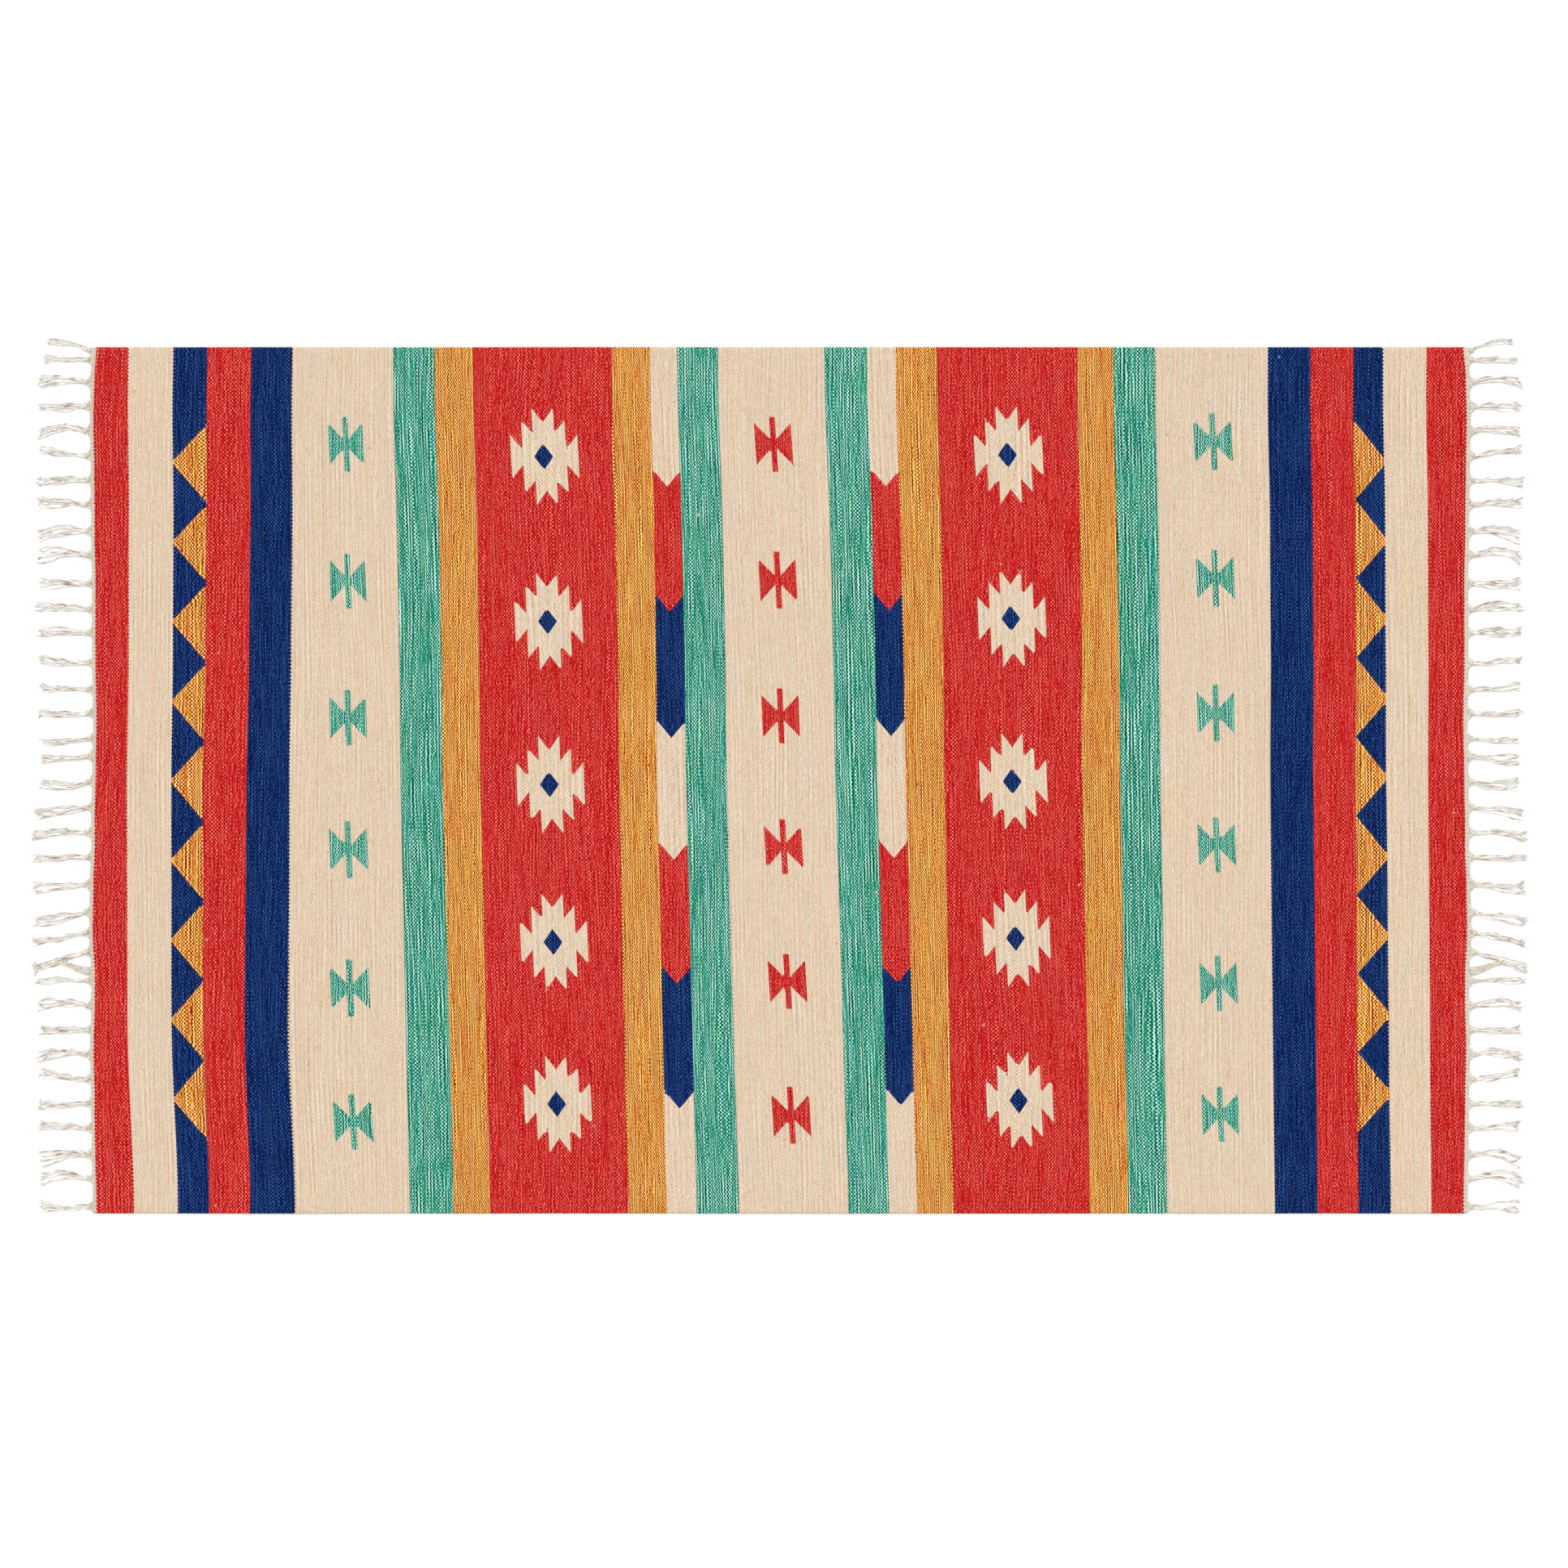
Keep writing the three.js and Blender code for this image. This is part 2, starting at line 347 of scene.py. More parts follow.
# The yarn of the design at any place of one stripe, near a column and a row
def designYarn(index, column, row):
    left, right = stripeEdges[row][index:index + 2]
    low = min(lastColumn - 1, math.floor(column))
    x = pickPlaces[row][low] + (column - low) * (pickPlaces[row][low + 1] - pickPlaces[row][low])
    across = (2 * (x - left) / (right - left) - 1) * stripes[index]["halfWidth"]
    return yarnAt(stripes[index], across, row * warpSpacing)


# Each hole on the outline of a figure lies right on it, because the weft turns back there. Between two
# stripes, where one of the four floats round a hole differs from the rest, the hole moves towards it.
def tuckAt(column, row):
    around = [(-1, 0), (1, 0), (0, -1), (0, 1)]
    yarns = [floatYarn(column + across, row + down) for across, down in around]
    if len(set(yarns)) == 1:
        return 0, 0
    index = stripeOfColumn[column]
    inside = stripeOfColumn[column - 1] == index == stripeOfColumn[column + 1]
    if inside and yarns[0] != yarns[1]:
        low, high = -1, 1
        for _ in range(weave["outlineSteps"]):
            middle = (low + high) / 2
            if designYarn(index, column + middle, row) == yarns[0]:
                low = middle
            else:
                high = middle
        return max(-weave["outline"], min(weave["outline"], low)), 0
    for way, yarn in zip(around, yarns):
        if yarns.count(yarn) == 1 and len(set(yarns)) == 2:
            return way[0] * weave["tuck"], way[1] * weave["tuck"]
    return 0, 0


# How far the cloth lies above the floor
def liftAt(x, y):
    wave = noise.noise(Vector((x, y, weave["waveLayer"])) / weave["waveLength"])
    toEdge = min(clothHalfLength - abs(x), clothWidth / 2 - abs(y))
    atEdge = 1 - smooth(toEdge / weave["edgeReach"])
    rise = weave["wave"] * (weave["waveMean"] + wave)
    return max(0, rise + weave["edgeLift"] * atEdge * (weave["edgeMean"] + wave))


# A point of the cloth: a hole on its face, one on its back, or one halfway up its edge
def clothPoint(column, row, ring):
    x = pickPlaces[row][column]
    y = clothWidth / 2 - row * warpSpacing
    onSide = column in (0, lastColumn)
    onSelvedge = row in (0, lastRow)
    stray = noise.cell_vector(Vector((column + 0.5, row + 0.5, 0.5)))
    if ring == "top" and not onSide and not onSelvedge:
        across, down = tuckAt(column, row)
        x += across * (pickPlaces[row][column + 1] - x if across > 0 else x - pickPlaces[row][column - 1])
        y -= down * warpSpacing
        if across or down:
            stray = Vector((0.5, 0.5, stray.z))
    outX = (-1 if column == 0 else 1) if onSide else 0
    outY = (1 if row == 0 else -1) if onSelvedge else 0
    out = weave["turn"] if (column + row) % 2 == 0 else 0
    if ring == "middle":
        out += weave["edgeRound"]
    x += outX * out + (0 if onSide else weave["floatUneven"][0] * (stray.x - 0.5))
    y += outY * out + (0 if onSelvedge else weave["floatUneven"][1] * (stray.y - 0.5))
    onEdge = onSide or onSelvedge
    heights = {
        "top": clothTop - weave["belowTop"] - onEdge * weave["edgeDrop"] + weave["thickVary"] * stray.z,
        "middle": clothTop / 2 - weave["belowTop"],
        "bottom": weave["underside"] + onEdge * weave["edgeRise"],
    }
    return Vector((x + clothMiddle.x, y + clothMiddle.y, heights[ring] + liftAt(x, y))) * mm


# Where a piece's faces go in its baked picture: the face of the cloth in two halves, then its walls and
# its back, each with a margin round it
bakeLayout = {"faceTop": 0.78, "wall": (0.79, 0.81), "backLow": 0.82, "margin": 0.004, "spareRows": 2}


def bakePlace(side, first, last, column, row, upperHalf):
    margin = bakeLayout["margin"]
    acrossShare = (column - first) / (last - first)
    if side == "face":
        spare = bakeLayout["spareRows"]
        halfShare = (row - (0 if upperHalf else lastRow / 2) + spare) / (lastRow / 2 + 2 * spare)
        u = (0 if upperHalf else 0.5) + margin + acrossShare * (0.5 - 2 * margin)
        return u, margin + halfShare * (bakeLayout["faceTop"] - 2 * margin)
    low, high = bakeLayout["wall"] if side == "wall" else (bakeLayout["backLow"], 1 - margin)
    share = 0.5 if side == "wall" else acrossShare
    return margin + row / lastRow * (1 - 2 * margin), low + share * (high - low)


def makeObject(name, points, faces):
    mesh = bpy.data.meshes.new(name)
    mesh.from_pydata(points, [], faces)
    piece = bpy.data.objects.new(name, mesh)
    bpy.context.collection.objects.link(piece)
    return piece


def addUvMap(piece, name, places):
    layer = piece.data.uv_layers.new(name=name)
    layer.data.foreach_set("uv", [value for place in places for value in place])


# One float on the face is a diamond, or what is left of one at the rim of its band
def floatCorners(column, row, first, last):
    left, right = max(first, column - 1), min(last, column + 1)
    corners = [(left, row), (column, min(lastRow, row + 1)), (right, row), (column, max(0, row - 1))]
    onRim = column in (0, lastColumn) or row in (0, lastRow)
    return [(*place, "top") for place in dict.fromkeys(corners) if onRim or place != (column, row)]


# One cell of the back has every point of the rim of the cloth that lies on it
def backCorners(left, right, upper, lower):
    corners = [(column, upper) for column in (range(left, right) if upper == 0 else [left])]
    corners += [(right, row) for row in (range(upper, lower) if right == lastColumn else [upper])]
    corners += [(column, lower) for column in (range(right, left, -1) if lower == lastRow else [right])]
    corners += [(left, row) for row in (range(lower, upper, -1) if left == 0 else [lower])]
    return [(*place, "bottom") for place in corners]


innerRows = [0, *range(1, lastRow, 2), lastRow]        # where bands meet, only every other warp has a point


# The rim of a band, counter-clockwise from its upper left corner
def rimOf(first, last):
    leftRows, rightRows = [range(lastRow + 1) if column in (0, lastColumn) else innerRows
                           for column in (first, last)]
    rim = [(first, row) for row in leftRows]
    rim += [(column, lastRow) for column in range(first + 1, last)]
    rim += [(last, row) for row in reversed(rightRows)]
    return rim + [(column, 0) for column in range(last - 1, first, -1)]


def makeBand(name, bandStripes):
    first = bandStripes[0]["first"]
    last = bandStripes[-1]["first"] + bandStripes[-1]["picks"]
    points, faces, yarns, rounded, weaveMap, bakeMap = [], [], [], [], [], []
    known = {}

    def addFace(corners, side, yarn, upperHalf=True, isRound=True):
        for corner in corners:
            if corner not in known:
                known[corner] = len(points)
                points.append(clothPoint(*corner))
            column, row, ring = corner
            outward = {"top": 0, "middle": 0.5, "bottom": 1}[ring] if side == "wall" else 0
            weaveMap.append((column + outward * ((column == lastColumn) - (column == 0)),
                             row + outward * ((row == lastRow) - (row == 0))))
            bakeMap.append(bakePlace(side, first, last, column, row, upperHalf))
        faces.append([known[corner] for corner in corners])
        yarns.append(yarn)
        rounded.append(isRound)

    for column in range(first, last + 1):
        for row in range(column % 2, lastRow + 1, 2):
            corners = floatCorners(column, row, first, last)
            addFace(corners, "face", floatYarn(column, row), upperHalf=row < lastRow / 2)

    columns = []
    for stripe in bandStripes:
        step = weave["backPicks"] if stripe["figure"] else stripe["picks"] // 2
        columns += range(stripe["first"], stripe["first"] + stripe["picks"], step)
    columns.append(last)
    for left, right in zip(columns, columns[1:]):
        for upper, lower in zip(innerRows, innerRows[1:]):
            yarn = floatYarn((left + right) // 2, (upper + lower) // 2)
            addFace(backCorners(left, right, upper, lower), "back", yarn)

    rim = rimOf(first, last)
    for start, end in zip(rim, rim[1:] + rim[:1]):
        betweenBands = start[0] == end[0] and start[0] not in (0, lastColumn)
        yarn = floatYarn(max(start[0], end[0]) - (start[0] == last), min(start[1], end[1]))
        for low, high in (("bottom", "middle"), ("middle", "top")):
            corners = [(*start, low), (*end, low), (*end, high), (*start, high)]
            addFace(corners, "wall", yarn, isRound=not betweenBands)

    band = makeObject("cloth_" + name, points, faces)
    addUvMap(band, "weave", weaveMap)
    addUvMap(band, "OFBake", bakeMap)
    used = sorted(set(yarns))
    for yarn in used:
        band.data.materials.append(weftMaterials[yarn])
    band.data.polygons.foreach_set("material_index", [used.index(yarn) for yarn in yarns])
    band.data.polygons.foreach_set("use_smooth", rounded)
    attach(band, "root")
    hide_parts("kilim_cloth")


# Materials
def linearColour(code):
    parts = [int(code[place:place + 2], 16) / 255 for place in (1, 3, 5)]
    return (*[part / 12.92 if part <= 0.04045 else ((part + 0.055) / 1.055) ** 2.4 for part in parts], 1)


# links is a list of its inputs in turn, or a dictionary of some of them. In it, a node stands for its first
# output.
def addNode(tree, kind, links=(), **settings):
    added = tree.nodes.new("ShaderNode" + kind)
    for name, value in settings.items():
        setattr(added, name, value)
    for socket, value in links.items() if isinstance(links, dict) else enumerate(links):
        if isinstance(value, bpy.types.Node):
            value = value.outputs[0]
        if isinstance(value, bpy.types.NodeSocket):
            tree.links.new(value, added.inputs[socket])
        else:
            added.inputs[socket].default_value = value
    return added


def makeMaterial(name, finish):
    material = bpy.data.materials.new(name)
    material.use_nodes = True
    shader = material.node_tree.nodes["Principled BSDF"]
    for socket, value in finish.items():
        shader.inputs[socket].default_value = value
    return material, material.node_tree, shader


# Weft floats, as a group that the five wefts share. The weave map counts picks across and warps along, so
# all sizes here are in threads: a pick is 1.9 to 2.9 mm wide and a warp 3.3 mm.
# lattice is 1 on the crown of a float and -1 in the hole where it dives under the next warp, and the
# wefts use it to paint shade into the holes and a highlight onto the crowns. yarn is the round shape of the
# float itself. Many picks lie in pairs, which leaves every other gap deeper for a while: streak paints shade
# into those gaps and light into the others. lumps makes every other pick lighter over a float or two, and
# doubled is for yarn that was laid in two picks at a time. floatShade changes from float to float, and
# pickShade and pickHue run along each pick. All but yarn and fibres run from -1 to 1.
floats = {
    "softEdge": 0.12,
    "shoulder": 0.6,             # a float is nearly level along its crown and steep at both ends
    "apart": 5.37,               # noise is sampled this far apart from pick to pick, so that each has its own
    "pickRun": 30,               # a pick keeps its shade for about this many warps
    "patches": {"streak": (6, 36), "lumps": (3, 2.5), "doubled": (16, 90)},        # picks across, warps along
    # slack sets how strongly the holes are painted dark and the crowns painted light beside a tight pick and
    # a slack one
    "slack": (0.1, 1.5),         # how deep the holes are beside a tight pick and a slack one
    "fibresAcross": 7,           # cotton fibres are far too fine to show, so they are drawn 0.3 mm wide
    "fibresAlong": 0.8,
}
# Noise between these two values gives the full range of each shade
floatContrast = {
    "patches": (0.25, 0.75), "floatShade": (0, 1), "pickShade": (0.25, 0.75), "pickHue": (0.3, 0.7),
    "slack": (0.35, 0.65),
}
evenNoise = {"Scale": 1, "Detail": 2}        # its size comes from the places that it is given


def makeFloatGroup():
    group = bpy.data.node_groups.new("weftFloats", "ShaderNodeTree")
    place = addNode(group, "UVMap", uv_map="weave")
    shades = {}

    # Waves that make half a turn for each pick and each warp, or a quarter for each pick
    pick, warp, _ = addNode(group, "SeparateXYZ", [place]).outputs
    counts = addNode(group, "CombineXYZ", [pick, warp, pick])
    turns = addNode(group, "VectorMath", [counts, (math.pi, math.pi, math.pi / 2)], operation="MULTIPLY")
    crests = addNode(group, "VectorMath", [turns], operation="COSINE")
    everyPick, everyWarp, everyPair = addNode(group, "SeparateXYZ", [crests]).outputs
    between = addNode(group, "VectorMath", [turns], operation="SINE")
    everyGap = addNode(group, "SeparateXYZ", [between])
    even = addNode(group, "Math", [everyPick, everyWarp], operation="MULTIPLY")
    # streak paints shade into every other gap between picks and light into the gaps between those
    for name, wave in (("streak", everyGap), ("lumps", everyPick), ("doubled", everyPair)):
        picks, warps = floats["patches"][name]
        scaled = addNode(group, "VectorMath", [place, (1 / picks, 1 / warps, 0)], operation="MULTIPLY")
        patches = addNode(group, "TexNoise", {"Vector": scaled, **evenNoise}, noise_dimensions="2D")
        strength = addNode(group, "MapRange", [patches, *floatContrast["patches"], -1, 1])
        shades[name] = addNode(group, "Math", [wave, strength], operation="MULTIPLY")

    # The crown of the nearest float. Crowns lie at every other crossing, so on a grid that is turned by 45
    # degrees each of them has a square cell of its own.
    slantUp = addNode(group, "VectorMath", [place, (0.5, 0.5, 0)], operation="DOT_PRODUCT")
    slantDown = addNode(group, "VectorMath", [place, (0.5, -0.5, 0)], operation="DOT_PRODUCT")
    slanted = addNode(group, "CombineXYZ", [slantUp.outputs["Value"], slantDown.outputs["Value"]])
    moved = addNode(group, "VectorMath", [slanted, (0.5, 0.5, 0)], operation="ADD")
    cell = addNode(group, "VectorMath", [moved], operation="FLOOR")
    column = addNode(group, "VectorMath", [cell, (1, 1, 0)], operation="DOT_PRODUCT")
    row = addNode(group, "VectorMath", [cell, (1, -1, 0)], operation="DOT_PRODUCT")
    crown = addNode(group, "CombineXYZ", [column.outputs["Value"], row.outputs["Value"]])

    # The float is half round across, and narrows and dives towards both its ends
    away = addNode(group, "VectorMath", [place, crown], operation="SUBTRACT")
    spread = addNode(group, "VectorMath", [away], operation="ABSOLUTE")
    across, along, _ = addNode(group, "SeparateXYZ", [spread]).outputs
    room = addNode(group, "Math", [1 + floats["softEdge"], along], operation="SUBTRACT")
    acrossShare = addNode(group, "Math", [across, room], operation="DIVIDE")
    square = addNode(group, "Math", [acrossShare, 2], operation="POWER")
    rest = addNode(group, "Math", [1, square], operation="SUBTRACT", use_clamp=True)
    barrel = addNode(group, "Math", [rest, 0.5], operation="POWER")
    quarter = addNode(group, "Math", [along, math.pi / 2], operation="MULTIPLY")
    dive = addNode(group, "Math", [quarter], operation="COSINE", use_clamp=True)
    level = addNode(group, "Math", [dive, floats["shoulder"]], operation="POWER")
    yarn = addNode(group, "Math", [barrel, level], operation="MULTIPLY")

    # Shades that change from float to float, or along a pick
    chance = addNode(group, "TexWhiteNoise", {"Vector": cell}, noise_dimensions="2D")
    pickPlace = addNode(group, "VectorMath",
                        [crown, (floats["apart"], 1 / floats["pickRun"], 0)], operation="MULTIPLY")
    ownNoise = addNode(group, "TexNoise", {"Vector": pickPlace, **evenNoise}, noise_dimensions="2D")
    own = addNode(group, "SeparateColor", {"Color": ownNoise.outputs["Color"]}).outputs
    for name, value, ends in (("floatShade", chance, (-1, 1)), ("pickShade", own[0], (-1, 1)),
                              ("pickHue", own[1], (-1, 1)), ("slack", own[2], floats["slack"])):
        shades[name] = addNode(group, "MapRange", [value, *floatContrast[name], *ends])
    lattice = addNode(group, "Math", [even, shades.pop("slack")], operation="MULTIPLY")
    comb = addNode(group, "VectorMath",
                   [place, (floats["fibresAcross"], floats["fibresAlong"], 0)], operation="MULTIPLY")
    fibres = addNode(group, "TexNoise", {"Vector": comb, **evenNoise}, noise_dimensions="2D")
    shades.update(lattice=lattice, yarn=yarn, fibres=fibres)
    for name in shades:
        group.interface.new_socket(name=name, in_out="OUTPUT", socket_type="NodeSocketFloat")
    results = group.nodes.new("NodeGroupOutput")
    for name, node in shades.items():
        group.links.new(node.outputs[0], results.inputs[name])
    return group


# Vat-dyed cotton weft, spun thick, unmercerised and beaten in by hand: dull. body is its dyed colour, hole is
# painted shade in the holes between the floats and crown a painted highlight on their crowns, and the wavy
# light and dark lines where the picks lie in pairs are painted light and shade as well. cool and warm tint
# its picks, stray is the colour of a rare float, and shares is how much of each shade shows.
wefts = {
    "red": {
        "hole": "#740000", "body": "#c2171b", "crown": "#fc8070",
        "cool": "#fff0ff", "warm": "#fffff0", "stray": "#dc8474",
        "shares": {"lattice": 0.4, "streak": 0.2, "lumps": 0.36, "pickShade": 0.08, "floatShade": 0.06},
    },
    "cream": {
        "hole": "#bca482", "body": "#e2cfb7", "crown": "#f8ecdc",
        "cool": "#f4f6fa", "warm": "#fff2e6", "stray": "#c7a68c",
        "shares": {"lattice": 0.27, "streak": 0.19, "lumps": 0.28, "pickShade": 0.09, "floatShade": 0.1,
                   "doubled": 0.2},
    },
    "navy": {
        "hole": "#00000e", "body": "#011e53", "crown": "#3e6bb0",
        "cool": "#e8f0ff", "warm": "#fff0f0", "stray": "#5c84bc",
        "shares": {"lattice": 0.38, "streak": 0.18, "lumps": 0.3, "pickShade": 0.08, "floatShade": 0.05},
    },
    "teal": {
        "hole": "#00120a", "body": "#1c9275", "crown": "#d6fff4",
        "cool": "#e0f4ff", "warm": "#fffff0", "stray": "#d9b8a6",
        "shares": {"lattice": 0.48, "streak": 0.47, "lumps": 0.28, "pickShade": 0.1, "floatShade": 0.03},
    },
    "ochre": {
        "hole": "#700800", "body": "#d68c3a", "crown": "#fff4b8",
        "cool": "#fff4a8", "warm": "#ffcab4", "stray": "#c9412c",
        "shares": {"lattice": 0.85, "streak": 0.66, "lumps": 0.55, "pickShade": 0.16, "floatShade": 0.06},
    },
}
# The IOR is that of cotton, whose loose fibres leave hardly any gloss
weftFinish = {"Roughness": 0.9, "Sheen Weight": 0.04, "Sheen Roughness": 0.5, "IOR": 1.53,
              "Specular IOR Level": 0.06}
weftRelief = {"Strength": 0.9, "Distance": 0.6 * mm, "Filter Width": 0.1}
weftDetail = {
    "fuzz": 0.25,            # how much the fibres add to the round of the yarn
    "strays": 0.00012,       # the share of floats that are of the stray colour
    "hueReach": 1.2,         # the tint turns from cool to warm between minus this and this
}


def makeWeft(name, group):
    look = wefts[name]
    material, tree, shader = makeMaterial("wovenCottonWeft" + name.capitalize(), weftFinish)
    shade = addNode(tree, "Group", node_tree=group).outputs
    tone = 0.5        # the middle of the ramp, where the body colour is
    for part, share in look["shares"].items():
        tone = addNode(tree, "Math", [shade[part], share, tone], operation="MULTIPLY_ADD")
    # The ramp paints shade into the holes and a highlight onto the crowns, round the dyed body colour in its
    # middle
    ramp = addNode(tree, "ValToRGB", {"Fac": tone})
    stops = ramp.color_ramp.elements
    stops[0].color = linearColour(look["hole"])
    stops[1].color = linearColour(look["crown"])
    stops.new(0.5).color = linearColour(look["body"])
    hue = addNode(tree, "Math", [shade["pickHue"], shade["doubled"]], operation="SUBTRACT")
    hueShare = addNode(tree, "MapRange", [hue, -weftDetail["hueReach"], weftDetail["hueReach"], 0, 1])
    # Inputs 6 and 7 of a mix are its two colours, and output 2 is the colour they give
    tint = addNode(tree, "Mix", {0: hueShare, 6: linearColour(look["cool"]), 7: linearColour(look["warm"])},
                   data_type="RGBA")
    dyed = addNode(tree, "Mix", {0: 1, 6: ramp, 7: tint.outputs[2]}, data_type="RGBA", blend_type="MULTIPLY")
    rare = addNode(tree, "Math", [shade["floatShade"], 1 - 2 * weftDetail["strays"]],
                   operation="GREATER_THAN")
    colour = addNode(tree, "Mix", {0: rare, 6: dyed.outputs[2], 7: linearColour(look["stray"])},
                     data_type="RGBA")
    tree.links.new(colour.outputs[2], shader.inputs["Base Color"])
    relief = addNode(tree, "Math", [shade["fibres"], weftDetail["fuzz"], shade["yarn"]],
                     operation="MULTIPLY_ADD")
    bump = addNode(tree, "Bump", {"Height": relief, **weftRelief})
    tree.links.new(bump.outputs[0], shader.inputs["Normal"])
    return material


floatGroup = makeFloatGroup()
weftMaterials = {name: makeWeft(name, floatGroup) for name in wefts}
print("materials: wefts in", ", ".join(wefts))

bands = {}
for stripe in stripes:
    bands.setdefault(stripe["band"], []).append(stripe)
for name, bandStripes in bands.items():
    makeBand(name, bandStripes)
print("cloth:", len(bands), "bands of", lastColumn, "picks on", weave["warps"], "warps")


# Undyed cotton warp, two-ply and hard twisted: off-white, with painted warm shade between its plies and
# painted light on their crests. It is nearly white where it hangs loose, with some tan lengths that are
# painted shade for the thin warm shadows along the locks, creamy in the knots, and greyer where it is pulled
# tight in the strip beside the cloth. Each look changes along the yarn in patches of so many mm.
warpYarns = {
    "loose": {"shade": "#8e6426", "body": "#faf4e8", "light": "#ffffff", "vary": (-0.75, 0.5),
              "noise": (0.36, 0.6), "patch": 26},
    "knotted": {"shade": "#96703c", "body": "#d6c9b2", "light": "#f2ebdc", "vary": (-0.5, 0.4),
                "noise": (0.3, 0.6), "patch": 8},
    "tight": {"shade": "#83765c", "body": "#c6bdaa", "light": "#f0ebdf", "vary": (-0.5, 0.5),
              "noise": (0.3, 0.7), "patch": 3},
}
warpPlies = {"twist": 6.5, "count": 2, "bodyAt": 0.4}        # twist is the length of one turn
warpFinish = {"Roughness": 0.85, "Sheen Weight": 0.12, "IOR": 1.53, "Specular IOR Level": 0.2}
warpRelief = {"Strength": 0.6, "Distance": 0.3 * mm, "Filter Width": 0.1}


def makeWarp(name, look):
    material, tree, shader = makeMaterial("twistedCottonWarp" + name.capitalize(), warpFinish)
    place = addNode(tree, "UVMap", uv_map="yarn")
    length, around, _ = addNode(tree, "SeparateXYZ", [place]).outputs
    along = addNode(tree, "Math", [length, 1 / warpPlies["twist"]], operation="MULTIPLY")
    spiral = addNode(tree, "Math", [along, around], operation="ADD")
    turned = addNode(tree, "Math", [spiral, warpPlies["count"] * math.pi], operation="MULTIPLY")
    wave = addNode(tree, "Math", [turned], operation="SINE")
    ply = addNode(tree, "Math", [wave], operation="ABSOLUTE")
    scaled = addNode(tree, "VectorMath", [place, (1 / look["patch"], 0, 0)], operation="MULTIPLY")
    patches = addNode(tree, "TexNoise", {"Vector": scaled, **evenNoise})
    vary = addNode(tree, "MapRange", [patches, *look["noise"], *look["vary"]])
    tone = addNode(tree, "Math", [ply, vary], operation="ADD", use_clamp=True)
    # The ramp paints warm shade between the plies and light on their crests, and where vary is low, tan
    # painted shade along the yarn
    colour = addNode(tree, "ValToRGB", {"Fac": tone})
    stops = colour.color_ramp.elements
    stops[0].color = linearColour(look["shade"])
    stops[1].color = linearColour(look["light"])
    stops.new(warpPlies["bodyAt"]).color = linearColour(look["body"])
    tree.links.new(colour.outputs[0], shader.inputs["Base Color"])
    bump = addNode(tree, "Bump", {"Height": ply, **warpRelief})
    tree.links.new(bump.outputs[0], shader.inputs["Normal"])
    return material


warpMaterials = {name: makeWarp(name, look) for name, look in warpYarns.items()}
print("materials: undyed warp", ", ".join(warpYarns))


# Fringe: one row for each tassel: its knot, measured down from the upper selvedge, how far it has bent
# down halfway and at its tips, how wide it spreads to each side, and how far it reaches from the cloth
firstTassels = [(4, -12, -14, 7, 87), (20, 0, 1, 8, 92)]
repeatedTassels = [
    (59, -5, 1, 13, 98), (101, 1, 2, 10, 95), (143, -5, 4, 12, 97), (186, -5, -9, 8, 95), (228, 1, 3, 9, 101),
    (270, -3, -4, 10, 99), (316, -2, 8, 15, 98), (357, -5, 2, 14, 101), (406, 1, 1, 12, 100),
]
middleTassels = [
    (451, -5, -2, 11, 104), (491, -1, 0, 10, 101), (543, -1, -5, 7, 99), (589, -1, -4, 9, 98),
    (630, 1, 0, 7, 104), (673, 5, 6, 9, 99), (704, 5, 6, 11, 99), (748, 8, 5, 12, 98), (792, 6, 11, 12, 104),
    (836, 0, 6, 11, 111), (878, 2, 2, 7, 108), (925, 3, 7, 13, 105), (973, 10, 16, 12, 106),
    (1009, 7, 17, 6, 106), (1042, 13, 25, 9, 106), (1091, -1, 0, 8, 106),
]
repeatDown = 1075        # the last tassels fall as the repeated ones do, this much further down
lastTassels = [(down + repeatDown, *rest) for down, *rest in repeatedTassels]
tassels = [
    dict(zip(("down", "bend", "tip", "spread", "reach"), row))
    for row in firstTassels + repeatedTassels + middleTassels + lastTassels
]
# One knot was drawn tight far out along its yarns, which leave the cloth at its root
tassels.append({"root": 1076, "down": 1060, "bend": 6, "tip": 13, "spread": 7, "reach": 106, "knot": 66,
                "gathers": 5, "gatherReach": 8})

# What all its yarns share: the lift of the cloth fades out over liftReach, and no yarn is nearer to the
# floor than clear
fringe = {"seed": 11, "liftReach": 30, "clear": 0.1}

# In the yarn map, which is in mm along and in turns around, each yarn starts this much further along than
# the last, so that no two of so many look alike. In the baked picture each has a cell with a margin.
strandMaps = {"apart": 200, "repeat": 400, "margin": 0.08}


# The yarns of a piece, gathered as points, faces and the places of their faces in its two maps
def newStrands():
    return {"points": [], "faces": [], "yarnMap": [], "bakeCells": [], "count": 0}


def tubeFrames(path):
    steps = [(after - before).normalized() for before, after in zip(path, path[1:])]
    bends = [(before + after).normalized() for before, after in zip(steps, steps[1:])]
    tangents = [steps[0], *bends, steps[-1]]
    side = tangents[0].cross(Vector((0.1, 0.2, 1))).normalized()        # no yarn runs that way
    sides = [side]
    for before, after in zip(tangents, tangents[1:]):
        side = before.rotation_difference(after) @ side
        sides.append(side)
    return tangents, sides


